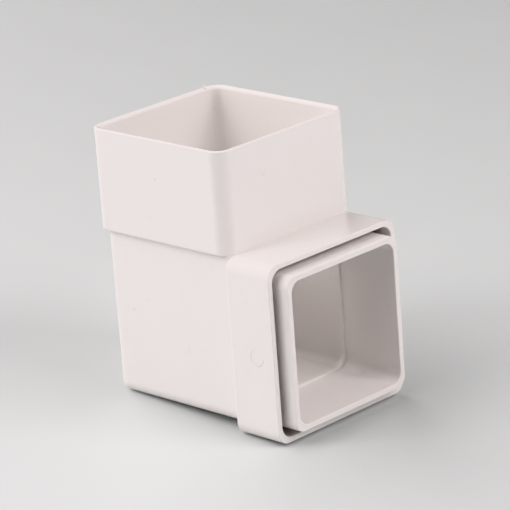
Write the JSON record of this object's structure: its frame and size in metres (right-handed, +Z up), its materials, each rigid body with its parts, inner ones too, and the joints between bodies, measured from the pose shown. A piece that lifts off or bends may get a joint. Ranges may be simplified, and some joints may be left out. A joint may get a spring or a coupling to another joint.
{
  "type": "downspout elbow",
  "caption": "Square downspout elbow that turns rainwater from a vertical inlet socket to a side outlet, a spigot that stands inside a collar.",
  "frame": {"origin": "centre of the inlet socket's pipe stop, on the inlet's axis", "axes": "+Z up the inlet's axis and out of its mouth, +X along the outlet, away from the body, +Y to the left of the outlet seen from behind it"},
  "size_m": [0.0958, 0.0706, 0.1115],
  "materials": {
    "white_plastic": "semi-gloss as moulded, faintly warm white"
  },
  "bodies": {
    "root": {"elbow": "white_plastic"}
  },
  "joints": []
}
